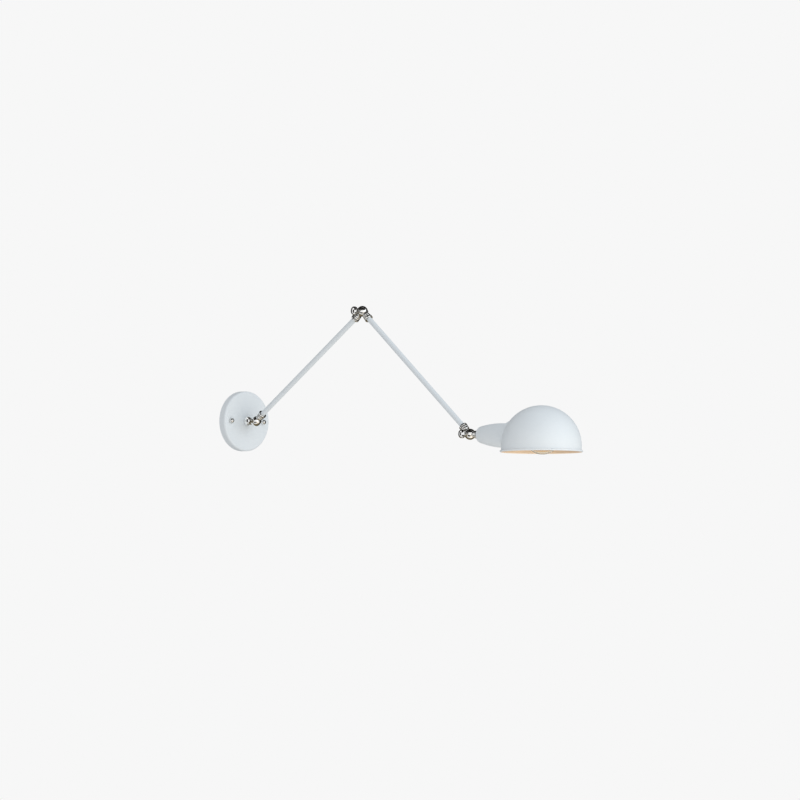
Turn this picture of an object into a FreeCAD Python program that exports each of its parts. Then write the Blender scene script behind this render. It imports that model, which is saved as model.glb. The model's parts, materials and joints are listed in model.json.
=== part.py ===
"""Swing arm wall lamp: a round backplate, two tube arms on three ball knuckles, and a dome shade.

The frame has its origin on the wall at the centre of the backplate. X runs along the wall, Y into the
wall and Z up, so the lamp reaches out along -Y. All sizes are millimetres and degrees.
"""
import FreeCAD, Part
import math
import os
import re

import Sketcher

doc = FreeCAD.newDocument("SwingArmWallLamp")
sheet = doc.addObject("Spreadsheet::Sheet", "dims")

# Driving dimensions: name, value, meaning
SIZES = (
    ("plate_diameter", 120, "backplate across"),
    ("plate_depth", 16, "backplate front face from the wall"),
    ("plate_wall", 1.2, "backplate sheet"),
    ("plate_edge", 4, "rounding of the backplate front edge"),
    ("plate_screw_spacing", 85, "cover screws, centre to centre"),
    ("plate_screw_diameter", 4, "cover screw thread"),
    ("screw_head_diameter", 10.4, "cover screw head across"),
    ("screw_head_height", 7, "cover screw head"),
    ("screw_rim", 0.7, "straight edge of the screw heads"),
    ("screw_slot_length", 4.6, "cross recess across"),
    ("screw_slot_width", 1, "cross recess arm"),
    ("screw_slot_depth", 1.3, "cross recess depth from the crown"),
    ("screw_tail", 2, "cover screw end past the bracket"),
    ("hole_gap", 0.3, "plain hole larger than what goes through it, on the radius"),
    ("bracket_length", 100, "wall bracket, end to end"),
    ("bracket_flat", 72, "part of the bracket that lies on the wall"),
    ("bracket_ramp", 2, "run of each sloped step of the bracket"),
    ("bracket_width", 20, "wall bracket strap"),
    ("bracket_sheet", 2, "wall bracket thickness"),
    ("bracket_rise", 6, "bracket ends stand off the wall"),
    ("tab_width", 28, "terminal tab of the bracket"),
    ("slot_spacing", 56, "wall screw slots, centre to centre"),
    ("slot_width", 4.5, "wall screw slot"),
    ("slot_travel", 8, "wall screw slot, between its end centres"),
    ("entry_diameter", 14, "cable hole in the bracket"),
    ("earth_offset", 15, "earth screw from the centre"),
    ("earth_head_diameter", 7.2, "earth screw head across"),
    ("earth_head_height", 2.2, "earth screw head"),
    ("terminal_length", 24, "terminal block along the wall"),
    ("terminal_width", 13, "terminal block up and down"),
    ("terminal_height", 10, "terminal block off its tab"),
    ("terminal_drop", 16, "top of the terminal block below the centre"),
    ("terminal_pitch", 7.5, "terminal screws, centre to centre"),
    ("terminal_well", 4.6, "terminal screw well across"),
    ("terminal_well_depth", 5, "terminal screw well"),
    ("terminal_screw_height", 3, "terminal screw"),
    ("terminal_inlet", 3, "supply wire hole across"),
    ("terminal_inlet_depth", 4, "wire holes of the terminal block"),
    ("nut_flats", 14, "lock nut across its flats"),
    ("nut_height", 4, "lock nut"),
    ("washer_diameter", 17, "washer under the lock nut"),
    ("washer_height", 1, "washer under the lock nut"),
    ("thread_show", 0.8, "nipple end past its lock nut"),
    ("tube_diameter", 10, "arm tube outside, also the nipples and necks"),
    ("tube_wall", 1, "arm tube wall, also the nipples"),
    ("lower_arm_length", 371, "base pivot to elbow pivot"),
    ("upper_arm_length", 389, "elbow pivot to head pivot"),
    ("lower_arm_rise", 34.6, "lower arm above level"),
    ("upper_arm_drop", 38.6, "upper arm below level"),
    ("head_drop", 2.1, "cup axis below level"),
    ("shade_tilt", 3.55, "shade rim turned up from the cup axis"),
    ("ball_diameter", 21, "knuckle ball"),
    ("ball_flat", 9.6, "flat seats of the ball from its centre"),
    ("boss_diameter", 7.2, "screw boss inside the ball"),
    ("pocket_diameter", 15, "cable space inside the ball"),
    ("pocket_depth", 4.6, "cable space in each half of the ball"),
    ("friction_sheet", 0.8, "friction washer thickness"),
    ("friction_inside", 15.6, "friction washer bore"),
    ("friction_outside", 20.2, "friction washer across"),
    ("pivot_diameter", 4, "pivot screw"),
    ("neck_show", 2, "neck seen between ball and collar"),
    ("neck_hold", 3.5, "neck inside its collar"),
    ("spigot_length", 9, "neck spigot inside the tube"),
    ("collar_length", 13.5, "stepped collar"),
    ("collar_diameter", 12.8, "collar between its rings"),
    ("bead_start", 0.5, "first bead from the collar end"),
    ("bead_width", 3.1, "each bead of the collar"),
    ("bead_gap", 0.8, "groove between the beads"),
    ("bead_one_diameter", 14.4, "bead next to the ball"),
    ("bead_two_diameter", 15.2, "second bead"),
    ("flange_diameter", 16.6, "flange of the collar"),
    ("flange_width", 3.6, "flange of the collar"),
    ("flange_edge", 0.8, "rounding of the flange"),
    ("flange_back", 0.8, "collar end past its flange"),
    ("knob_hub_diameter", 8.4, "thumb knob hub"),
    ("knob_hub_length", 9.2, "thumb knob hub"),
    ("knob_diameter", 16.4, "thumb knob"),
    ("knob_width", 4.6, "thumb knob rim"),
    ("knob_crown", 2.8, "rise of the thumb knob face"),
    ("knob_edge", 0.9, "rounding of the thumb knob back"),
    ("knob_bore_depth", 9, "pivot screw inside the thumb knob"),
    ("flute_diameter", 1.3, "flute of the thumb knob rim"),
    ("flute_depth", 0.45, "flute of the thumb knob rim"),
    ("cap_nut_diameter", 8.2, "domed cap nut across"),
    ("cap_nut_rim", 2, "straight part of the cap nut"),
    ("cap_nut_rise", 2.6, "domed end of the cap nut"),
    ("cap_nut_bore", 3, "pivot screw inside the cap nut"),
    ("cable_diameter", 4.4, "inner cable"),
    ("cable_gap", 0.3, "inner cable to its bores"),
    ("cable_bend", 5, "bend of the cable behind the backplate"),
    ("cable_tail", 4, "inner cable inside the lampholder"),
    ("fit_gap", 0.03, "radial clearance of fits and running fits"),
    ("turn_gap", 0.1, "faces that turn past each other"),
    ("swing_gap", 0.35, "neck to the other half of its ball"),
    ("cup_length", 83.2, "socket cup"),
    ("cup_wall", 1, "socket cup sheet"),
    ("cup_flat", 16.4, "flat at the back of the cup across"),
    ("cup_round", 8, "rounding of the cup back"),
    ("cup_shoulder_angle", 13.5, "slope of the cup where its rounding ends"),
    ("cup_front_diameter", 45, "cup mouth"),
    ("cup_bow", 260, "radius of the cup side"),
    ("holder_back", 28, "lampholder back from the cup mouth"),
    ("holder_boss_diameter", 18, "threaded boss of the lampholder"),
    ("holder_boss_length", 6, "threaded boss of the lampholder"),
    ("holder_diameter", 37, "lampholder body"),
    ("holder_round", 7, "rounding of the lampholder back"),
    ("holder_skirt_diameter", 32.8, "lampholder threaded skirt"),
    ("socket_floor", 1, "socket floor behind the cup mouth"),
    ("socket_depth", 31, "lampholder front from the socket floor"),
    ("socket_diameter", 28.2, "bore of the lampholder"),
    ("socket_shell_wall", 0.6, "threaded shell of the socket"),
    ("socket_shell_lip", 2, "threaded shell below the lampholder front"),
    ("socket_shell_hole", 18, "hole in the floor of the threaded shell"),
    ("contact_length", 12, "centre contact strip"),
    ("contact_width", 5, "centre contact strip"),
    ("contact_sheet", 0.6, "centre contact strip"),
    ("contact_lift", 5, "bulb tip above the socket floor"),
    ("neck_length", 6.6, "shade neck along the cup axis"),
    ("neck_diameter", 56.8, "shade neck outside"),
    ("neck_bore", 41, "hole through the neck's back and the dome"),
    ("neck_wall", 1.4, "shade neck sheet"),
    ("neck_edge", 1.2, "rounding of the shade neck"),
    ("seat_back", 1, "clamping seat in the neck from the cup mouth"),
    ("seat_sheet", 2, "clamping seat in the neck"),
    ("ring_height", 6, "threaded shade ring"),
    ("ring_diameter", 39.4, "threaded shade ring across"),
    ("ring_edge", 1, "rounding of the shade ring"),
    ("shade_diameter", 150, "dome across"),
    ("shade_wall", 1, "dome sheet"),
    ("shade_skirt", 8.5, "straight skirt below the dome"),
    ("shade_bead", 1.8, "radius of the rolled rim"),
    ("axis_height", 16, "cup axis above the dome centre"),
    ("weld_gap", 0.05, "shade neck to the dome"),
    ("bulb_diameter", 65, "bulb globe"),
    ("bulb_light_centre", 78, "globe centre from the bulb tip"),
    ("bulb_neck_diameter", 24.4, "glass neck"),
    ("bulb_neck_angle", 42, "globe angle where the neck curve starts"),
    ("bulb_wall", 0.8, "bulb glass"),
    ("bulb_cap_diameter", 26.2, "bulb screw cap"),
    ("bulb_cap_length", 27, "bulb tip to the end of its cap"),
    ("bulb_cap_start", 3.4, "metal cap above the bulb tip"),
    ("bulb_cap_wall", 0.5, "bulb screw cap sheet"),
    ("bulb_cap_cone", 2.4, "cone at the bottom of the bulb screw cap"),
    ("bulb_button_diameter", 9.4, "tip contact"),
    ("bulb_button_height", 1.2, "tip contact"),
    ("stem_start", 15, "glass stem flare above the bulb tip"),
    ("stem_diameter", 6.4, "glass stem"),
    ("stem_flare", 9, "height of the glass stem flare"),
    ("stem_length", 38, "glass stem"),
    ("filament_loop", 12, "radius of the filament loop"),
    ("filament_diameter", 1.4, "filament"),
    ("filament_lead_rise", 17, "filament leads"),
    ("filament_lead_width", 0.8, "filament leads"),
)

# Places worked out from the driving dimensions, along each arm from its pivot
PLACES = (
    ("ball_radius", "ball_diameter / 2"),
    ("half_face", "friction_sheet / 2"),
    ("neck_root", "(pocket_diameter / 2 + ball_radius) / 2"),
    ("collar_start", "ball_radius + neck_show"),
    ("collar_end", "collar_start + collar_length"),
    ("tube_start", "collar_start + neck_hold"),
    ("spigot_end", "tube_start + spigot_length"),
    ("tube_radius", "tube_diameter / 2"),
    ("bore_radius", "tube_diameter / 2 - tube_wall"),
    ("lead_radius", "cable_diameter / 2 + cable_gap"),
    ("cable_start", "ball_radius + 2 * swing_gap"),
    ("bead_one_start", "collar_start + bead_start"),
    ("bead_two_start", "bead_one_start + bead_width + bead_gap"),
    ("flange_end", "collar_end - flange_back"),
    ("flange_start", "flange_end - flange_width"),
    ("bead_one_rise", "(bead_one_diameter - collar_diameter) / 2"),
    ("bead_two_rise", "(bead_two_diameter - collar_diameter) / 2"),
    ("plate_face", "collar_end + turn_gap"),
    ("pivot_out", "plate_depth + plate_face"),
    ("plate_inside", "plate_depth - plate_wall"),
    ("nut_inside", "plate_inside - washer_height - nut_height"),
    ("nipple_inside", "nut_inside - thread_show"),
    ("cable_run", "bracket_sheet + cable_diameter / 2 + 2 * cable_gap"),
    ("elbow_y", "-pivot_out - lower_arm_length * cos(lower_arm_rise)"),
    ("elbow_z", "lower_arm_length * sin(lower_arm_rise)"),
    ("head_y", "elbow_y - upper_arm_length * cos(upper_arm_drop)"),
    ("head_z", "elbow_z - upper_arm_length * sin(upper_arm_drop)"),
    ("cup_mouth", "collar_end + cup_length"),
    ("cup_shoulder", "collar_end + cup_round"),
    ("dome_radius", "shade_diameter / 2"),
    ("shade_reach", "cup_mouth + neck_length + sqrt(dome_radius ^ 2 - axis_height ^ 2)"),
    ("shade_y", "head_y - shade_reach * cos(head_drop) + axis_height * sin(head_drop)"),
    ("shade_z", "head_z - shade_reach * sin(head_drop) - axis_height * cos(head_drop)"),
    ("bead_centre", "dome_radius + shade_bead - shade_wall"),
    ("bead_level", "-shade_skirt - shade_bead"),
    ("bead_join", "bead_level + sqrt(shade_bead ^ 2 - (shade_bead - shade_wall) ^ 2)"),
    ("holder_start", "cup_mouth - holder_back"),
    ("holder_body", "holder_start + holder_boss_length"),
    ("floor_level", "cup_mouth - socket_floor"),
    ("holder_front", "floor_level + socket_depth"),
    ("seat_start", "cup_mouth + seat_back"),
    ("seat_end", "seat_start + seat_sheet"),
    ("bulb_tip", "floor_level + contact_lift"),
    ("bulb_centre", "bulb_tip + bulb_light_centre"),
    ("bulb_radius", "bulb_diameter / 2"),
    ("glass_radius", "bulb_neck_diameter / 2"),
    ("cap_start", "bulb_tip + bulb_cap_start"),
    ("cap_end", "bulb_tip + bulb_cap_length"),
    ("cap_radius", "bulb_cap_diameter / 2"),
    ("join_radius", "bulb_radius * cos(bulb_neck_angle)"),
    ("join_level", "bulb_centre - bulb_radius * sin(bulb_neck_angle)"),
    ("neck_curve", "(join_radius - glass_radius) / (1 - cos(bulb_neck_angle))"),
    ("neck_level", "join_level - neck_curve * sin(bulb_neck_angle)"),
    ("glass_start", "bulb_tip + stem_start - 2 * bulb_wall"),
    ("stem_base", "bulb_tip + stem_start"),
    ("stem_top", "stem_base + stem_length"),
    ("loop_level", "stem_top + filament_lead_rise"),
)

for row, (name, size, meaning) in enumerate(SIZES, start=1):
    sheet.set(f"A{row}", name)
    sheet.set(f"B{row}", str(size))
    sheet.set(f"C{row}", meaning)
    sheet.setAlias(f"B{row}", name)
for row, (name, formula) in enumerate(PLACES, start=len(SIZES) + 2):
    sheet.set(f"A{row}", name)
    sheet.set(f"B{row}", "=" + formula)
    sheet.setAlias(f"B{row}", name)
doc.recompute()

ALIASES = {entry[0] for entry in SIZES + PLACES}

# Each frame is a pivot or seat (y, z) and a turn about X that points the local Z axis along a piece
FRAMES = {
    "wall": ("0", "0", "90"),
    "stem": ("-pivot_out", "0", "-90"),
    "lower": ("-pivot_out", "0", "90 - lower_arm_rise"),
    "lower_tip": ("elbow_y", "elbow_z", "-90 - lower_arm_rise"),
    "upper": ("elbow_y", "elbow_z", "90 + upper_arm_drop"),
    "upper_tip": ("head_y", "head_z", "-90 + upper_arm_drop"),
    "head": ("head_y", "head_z", "90 + head_drop"),
    "shade": ("shade_y", "shade_z", "head_drop - shade_tilt"),
}
FLUTES = 20
CORNERS = 6
SIDES = ("-1", "1")
nodes = []


def bound(formula):
    """The formula with each sheet name written in full."""
    return re.sub(r"[a-z_]+", lambda word: "dims." + word[0] if word[0] in ALIASES else word[0], formula)


def number(formula):
    return float(sheet.evalExpression(bound(formula)))


def tie(item, prop, formula):
    item.setExpression(prop, bound(formula))


def place(item, frame, shift=("0", "0", "0"), turn="0"):
    """Put an item in a frame, moved by a local (x, y, z) and turned further about X."""
    origin_y, origin_z, angle = FRAMES[frame]
    side, rise, along = shift
    item.Placement = FreeCAD.Placement(FreeCAD.Vector(), FreeCAD.Rotation(FreeCAD.Vector(1, 0, 0), 1))
    tie(item, ".Placement.Base.x", side)
    tie(item, ".Placement.Base.y", f"{origin_y} + ({rise}) * cos({angle}) - ({along}) * sin({angle})")
    tie(item, ".Placement.Base.z", f"{origin_z} + ({rise}) * sin({angle}) + ({along}) * cos({angle})")
    tie(item, ".Placement.Rotation.Angle", f"{angle} + {turn}")


def keep(item, label):
    """Name a finished piece and list it among the nodes."""
    item.Label = label
    nodes.append(item)
    return item


def origin_feature(body, role):
    return next(feature for feature in body.Origin.OriginFeatures if feature.Role == role)


def arc_segment(start, end, radius, side):
    """A minor arc from start to end whose centre lies on the given side of the way."""
    way = end - start
    across = FreeCAD.Vector(-way.y, way.x, 0).normalize()
    reach = math.sqrt(max(radius ** 2 - way.Length ** 2 / 4, 0))
    centre = (start + end) * 0.5 + across * (reach if side == "left" else -reach)
    first, last = (start, end) if side == "left" else (end, start)
    angles = [math.atan2(point.y - centre.y, point.x - centre.x) for point in (first, last)]
    circle = Part.Circle(centre, FreeCAD.Vector(0, 0, 1), radius)
    return Part.ArcOfCircle(circle, angles[0], angles[1])


def add_loop(sketch, points, closed=True):
    """An outline: (u, v) ends a line there, (u, v, radius, side) ends an arc there.

    A closed outline goes from its last point to its first; an open one starts at its first.
    """
    places = [FreeCAD.Vector(number(point[0]), number(point[1]), 0) for point in points]
    ends = []
    first = 0 if closed else 1
    for index, point in enumerate(points[first:], start=first):
        start, end = places[index - 1], places[index]
        if len(point) == 2:
            piece = sketch.addGeometry(Part.LineSegment(start, end))
            ends.append((piece, 1, 2))
            continue
        radius, side = point[2:]
        piece = sketch.addGeometry(arc_segment(start, end, number(radius), side))
        ends.append((piece, 1, 2) if side == "left" else (piece, 2, 1))
        rule = sketch.addConstraint(Sketcher.Constraint("Radius", piece, number(radius)))
        tie(sketch, f"Constraints[{rule}]", radius)
    followers = ends[1:] + ends[:1] if closed else ends[1:]
    for (piece, _, end), (next_piece, next_start, _) in zip(ends, followers):
        sketch.addConstraint(Sketcher.Constraint("Coincident", piece, end, next_piece, next_start))
    fixed = [(piece, end, point) for (piece, _, end), point in zip(ends, points[first:])]
    if not closed:
        fixed.append((ends[0][0], ends[0][1], points[0]))
    for piece, end, point in fixed:
        for kind, formula in zip(("DistanceX", "DistanceY"), point[:2]):
            rule = sketch.addConstraint(Sketcher.Constraint(kind, -1, 1, piece, end, number(formula)))
            tie(sketch, f"Constraints[{rule}]", formula)


def add_circle(sketch, centre_u, centre_v, radius):
    centre = FreeCAD.Vector(number(centre_u), number(centre_v), 0)
    piece = sketch.addGeometry(Part.Circle(centre, FreeCAD.Vector(0, 0, 1), number(radius)))
    rules = (
        (Sketcher.Constraint("Radius", piece, number(radius)), radius),
        (Sketcher.Constraint("DistanceX", -1, 1, piece, 3, centre.x), centre_u),
        (Sketcher.Constraint("DistanceY", -1, 1, piece, 3, centre.y), centre_v),
    )
    for constraint, formula in rules:
        tie(sketch, f"Constraints[{sketch.addConstraint(constraint)}]", formula)


def draw(body, plane, loops=(), circles=(), level="0"):
    """A sketch on one of the body's own planes, moved along its normal to the given level."""
    sketch = body.newObject("Sketcher::SketchObject", body.Name + "_sketch")
    sketch.AttachmentSupport = [(origin_feature(body, plane), "")]
    sketch.MapMode = "FlatFace"
    tie(sketch, ".AttachmentOffset.Base.z", level)
    for points in loops:
        add_loop(sketch, points)
    for circle in circles:
        add_circle(sketch, *circle)
    return sketch


def spin(body, outline, axis="Z", kind="PartDesign::Revolution"):
    """Turn an outline about the body's Z axis, points (radius, z), or its X axis, points (x, radius)."""
    sketch = draw(body, "XZ_Plane" if axis == "Z" else "XY_Plane", [outline])
    feature = body.newObject(kind, body.Name + "_turned")
    feature.Profile = sketch
    feature.ReferenceAxis = (sketch, ["V_Axis" if axis == "Z" else "H_Axis"])
    feature.Angle = 360
    return feature


def pad(body, plane, loops, length, both_sides=False):
    feature = body.newObject("PartDesign::Pad", body.Name + "_pad")
    feature.Profile = draw(body, plane, loops)
    feature.Midplane = both_sides
    tie(feature, "Length", length)
    return feature


def pocket(body, plane, length, loops=(), circles=(), level="0", reverse=False):
    feature = body.newObject("PartDesign::Pocket", body.Name + "_pocket")
    feature.Profile = draw(body, plane, loops, circles, level)
    feature.Reversed = reverse
    tie(feature, "Length", length)
    return feature


def new_body(name, frame, shift=("0", "0", "0")):
    body = doc.addObject("PartDesign::Body", name)
    place(body, frame, shift)
    return body


def turned(label, frame, outline, axis="Z"):
    """A node turned in one piece."""
    body = new_body(label, frame)
    spin(body, outline, axis)
    return keep(body, label)


def rectangle(left, bottom, right, top):
    return [(left, bottom), (right, bottom), (right, top), (left, top)]


def sleeve(label, frame, inner, outer, start, end):
    """A plain round tube."""
    return turned(label, frame, rectangle(inner, start, outer, end))


def cylinder(name, frame, radius, length, shift=("0", "0", "0"), turn="0"):
    item = doc.addObject("Part::Cylinder", name)
    tie(item, "Radius", radius)
    tie(item, "Height", length)
    place(item, frame, shift, turn)
    return item


def cut(label, base, tool):
    """A node that is one shape less another."""
    item = doc.addObject("Part::Cut", label)
    item.Base = base
    item.Tool = tool
    return keep(item, label)


def cable(label, frame, end):
    """A straight stretch of the inner cable, from beside the ball to the given end."""
    start = ("0", "0", "cable_start")
    keep(cylinder(label, frame, "cable_diameter / 2", f"{end} - cable_start", start), label)


def group(label, items):
    compound = doc.addObject("Part::Compound", label)
    compound.Links = items
    return keep(compound, label)


def bead_radius(rise):
    """Radius of an arc as wide as a bead that rises by the given amount."""
    return f"(bead_width ^ 2 / 4 + {rise} ^ 2) / (2 * {rise})"


def lock_nut(label, frame, start):
    """A hexagon nut on the nipple thread."""
    blank = doc.addObject("Part::Prism", label + "_blank")
    blank.Polygon = CORNERS
    tie(blank, "Circumradius", f"nut_flats / 2 / cos(180 / {CORNERS})")
    tie(blank, "Height", "nut_height")
    place(blank, frame, ("0", "0", start))
    bore = cylinder(label + "_bore", frame, "tube_radius + fit_gap", "nut_height", ("0", "0", start))
    return cut(label, blank, bore)


# Wall bracket, flat on the wall with raised ends for the cover screws and a tab for the terminals
def bracket():
    body = new_body("mounting_bracket", "wall")
    end, flat = "bracket_length / 2", "bracket_flat / 2"
    top = "bracket_rise + bracket_sheet"
    right = [
        (flat, "0"),
        (f"{flat} + bracket_ramp", "bracket_rise"),
        (end, "bracket_rise"),
        (end, top),
        (f"{flat} + bracket_ramp - bracket_sheet / 2", top),
        (f"{flat} - bracket_sheet / 2", "bracket_sheet"),
    ]
    left = [(f"-({across})", level) for across, level in reversed(right)]
    pad(body, "XZ_Plane", [right + left], "bracket_width", both_sides=True)
    tab = rectangle("-tab_width / 2", "-terminal_drop - terminal_width", "tab_width / 2", "0")
    pad(body, "XY_Plane", [tab], "bracket_sheet")
    radius = "slot_width / 2"
    slots = []
    for side in SIDES:
        near = f"{side} * slot_spacing / 2 - slot_travel / 2"
        far = f"{side} * slot_spacing / 2 + slot_travel / 2"
        slots.append([
            (far, f"-{radius}"),
            (f"{far} + {radius}", "0", radius, "left"),
            (far, radius, radius, "left"),
            (near, radius),
            (f"{near} - {radius}", "0", radius, "left"),
            (near, f"-{radius}", radius, "left"),
        ])
    screw = "plate_screw_diameter / 2 + fit_gap"
    holes = [("0", "0", "entry_diameter / 2"), ("-earth_offset", "0", screw)]
    holes += [(f"{side} * plate_screw_spacing / 2", "0", screw) for side in SIDES]
    pocket(body, "XY_Plane", "bracket_rise + 2 * bracket_sheet", slots, holes, reverse=True)
    keep(body, "mounting_bracket")


# Backplate, a spun pan with a rounded front edge
def backplate():
    body = new_body("backplate", "wall")
    outer, bore = "plate_diameter / 2", "tube_radius + hole_gap"
    spin(body, [
        (outer, "0"),
        (outer, "plate_depth - plate_edge"),
        (f"{outer} - plate_edge", "plate_depth", "plate_edge", "left"),
        (bore, "plate_depth"),
        (bore, "plate_inside"),
        (f"{outer} - plate_edge", "plate_inside"),
        (f"{outer} - plate_wall", "plate_depth - plate_edge", "plate_edge - plate_wall", "right"),
        (f"{outer} - plate_wall", "0"),
    ])
    hole = "plate_screw_diameter / 2 + hole_gap"
    holes = [(f"{side} * plate_screw_spacing / 2", "0", hole) for side in SIDES]
    pocket(body, "XY_Plane", "plate_depth + plate_wall", circles=holes, reverse=True)
    keep(body, "backplate")


# Cover screw with a domed head and a cross recess
def plate_screw(name, side):
    body = new_body(name, "wall", (f"{side} * plate_screw_spacing / 2", "0", "0"))
    shank, head = "plate_screw_diameter / 2", "screw_head_diameter / 2"
    tail, crown = "bracket_rise - screw_tail", "plate_depth + screw_head_height"
    dome = f"(({head}) ^ 2 + (screw_head_height - screw_rim) ^ 2) / (2 * (screw_head_height - screw_rim))"
    spin(body, [
        ("0", tail),
        (shank, tail),
        (shank, "plate_depth"),
        (head, "plate_depth"),
        (head, "plate_depth + screw_rim"),
        ("0", crown, dome, "left"),
    ])
    arm, half = "screw_slot_length / 2", "screw_slot_width / 2"
    quarter = [(arm, half), (half, half), (half, arm)]
    cross = []
    for _ in range(4):
        cross += quarter
        quarter = [(f"-({across})", along) for along, across in quarter]
    pocket(body, "XY_Plane", "screw_slot_depth", [cross], level=crown)
    return body


# Terminal block on the bracket tab, with its screws and the earth screw beside it
def terminals():
    block = doc.addObject("Part::Box", "terminal_blank")
    tie(block, "Length", "terminal_length")
    tie(block, "Width", "terminal_width")
    tie(block, "Height", "terminal_height")
    low_edge = "-terminal_drop - terminal_width"
    place(block, "wall", ("-terminal_length / 2", low_edge, "bracket_sheet"))
    well_floor = "bracket_sheet + terminal_height - terminal_well_depth"
    middle = "-terminal_drop - terminal_width / 2"
    cuts, screws = [], []
    for step in ("-1", "0", "1"):
        across = f"{step} * terminal_pitch"
        well = (across, middle, well_floor)
        cuts.append(cylinder("terminal_well", "wall", "terminal_well / 2", "terminal_well_depth", well))
        screws.append(cylinder("terminal_screw", "wall", "terminal_well / 2 - fit_gap",
                               "terminal_screw_height", well))
        inlet = (across, low_edge, "cable_run")
        cuts.append(cylinder("terminal_inlet", "wall", "terminal_inlet / 2", "terminal_inlet_depth",
                             inlet, "-90"))
    outlet = ("0", "-terminal_drop - terminal_inlet_depth", "cable_run")
    cuts.append(cylinder("terminal_outlet", "wall", "lead_radius", "terminal_inlet_depth", outlet, "-90"))
    hollows = doc.addObject("Part::MultiFuse", "terminal_hollows")
    hollows.Shapes = cuts
    cut("terminal_block", block, hollows)
    group("terminal_screws", screws)

    earth = new_body("earth_screw", "wall", ("-earth_offset", "0", "0"))
    shank, head = "plate_screw_diameter / 2", "earth_head_diameter / 2"
    crown = "bracket_sheet + earth_head_height"
    spin(earth, [
        ("0", "turn_gap"),
        (shank, "turn_gap"),
        (shank, "bracket_sheet"),
        (head, "bracket_sheet"),
        (head, f"{crown} - screw_rim"),
        (f"{head} - screw_rim", crown, "screw_rim", "left"),
        ("0", crown),
    ])
    keep(earth, "earth_screw")


# Cable from the base knuckle through the nipple, bent down to the terminal block
def supply_cable():
    body = new_body("supply_cable", "wall")
    start = "pivot_out - cable_start"
    path = body.newObject("Sketcher::SketchObject", "supply_path")
    path.AttachmentSupport = [(origin_feature(body, "YZ_Plane"), "")]
    path.MapMode = "FlatFace"
    add_loop(path, [
        ("0", start),
        ("0", "cable_run + cable_bend"),
        ("-cable_bend", "cable_run", "cable_bend", "right"),
        ("-terminal_drop - terminal_inlet_depth + cable_gap", "cable_run"),
    ], closed=False)
    pipe = body.newObject("PartDesign::AdditivePipe", "supply_pipe")
    pipe.Profile = draw(body, "XY_Plane", circles=[("0", "0", "cable_diameter / 2")], level=start)
    pipe.Spine = (path, [f"Edge{count}" for count in range(1, path.GeometryCount + 1)])
    keep(body, "supply_cable")


# Half of a knuckle ball with its neck: side 1 is the cap nut's half, side -1 the thumb knob's half
def knuckle_half(label, frame, side):
    body = new_body(label, frame)
    face = f"{side} * half_face"
    pocket_floor = f"{side} * (half_face + pocket_depth)"
    bore, boss = "pivot_diameter / 2 + 2 * fit_gap", "boss_diameter / 2"
    bulge, hollow = ("right", "left") if side == "1" else ("left", "right")
    spin(body, [
        (face, bore),
        (face, boss),
        (pocket_floor, boss),
        (pocket_floor, "pocket_diameter / 2"),
        (face, "pocket_diameter / 2"),
        (face, "sqrt(ball_radius ^ 2 - half_face ^ 2)"),
        (f"{side} * ball_flat", "sqrt(ball_radius ^ 2 - ball_flat ^ 2)", "ball_radius", bulge),
        (f"{side} * ball_flat", bore),
    ], axis="X")
    spigot = "bore_radius - fit_gap"
    spin(body, [
        ("lead_radius", "neck_root"),
        ("tube_radius", "neck_root"),
        ("tube_radius", "tube_start"),
        (spigot, "tube_start"),
        (spigot, "spigot_end"),
        ("lead_radius", "spigot_end"),
    ])
    reach = "ball_radius + swing_gap"
    spin(body, [
        (face, "0"),
        (face, f"sqrt(({reach}) ^ 2 - half_face ^ 2)"),
        (f"-{side} * ({reach})", "0", reach, hollow),
    ], axis="X", kind="PartDesign::Groove")
    passage = rectangle("0", "(boss_diameter + pocket_diameter) / 4", "lead_radius", "tube_start")
    spin(body, passage, kind="PartDesign::Groove")
    keep(body, label)


# Stepped collar that covers the meeting of neck and tube: two beads and a flange
def collar(label, frame):
    side, rim, bore = "collar_diameter / 2", "flange_diameter / 2", "tube_radius + fit_gap"
    turned(label, frame, [
        (bore, "collar_start"),
        (side, "collar_start"),
        (side, "bead_one_start"),
        (side, "bead_one_start + bead_width", bead_radius("bead_one_rise"), "left"),
        (side, "bead_two_start"),
        (side, "bead_two_start + bead_width", bead_radius("bead_two_rise"), "left"),
        (side, "flange_start"),
        (f"{rim} - flange_edge", "flange_start"),
        (rim, "flange_start + flange_edge", "flange_edge", "left"),
        (rim, "flange_end - flange_edge"),
        (f"{rim} - flange_edge", "flange_end", "flange_edge", "left"),
        (side, "flange_end"),
        (side, "collar_end"),
        (bore, "collar_end"),
    ])


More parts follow.
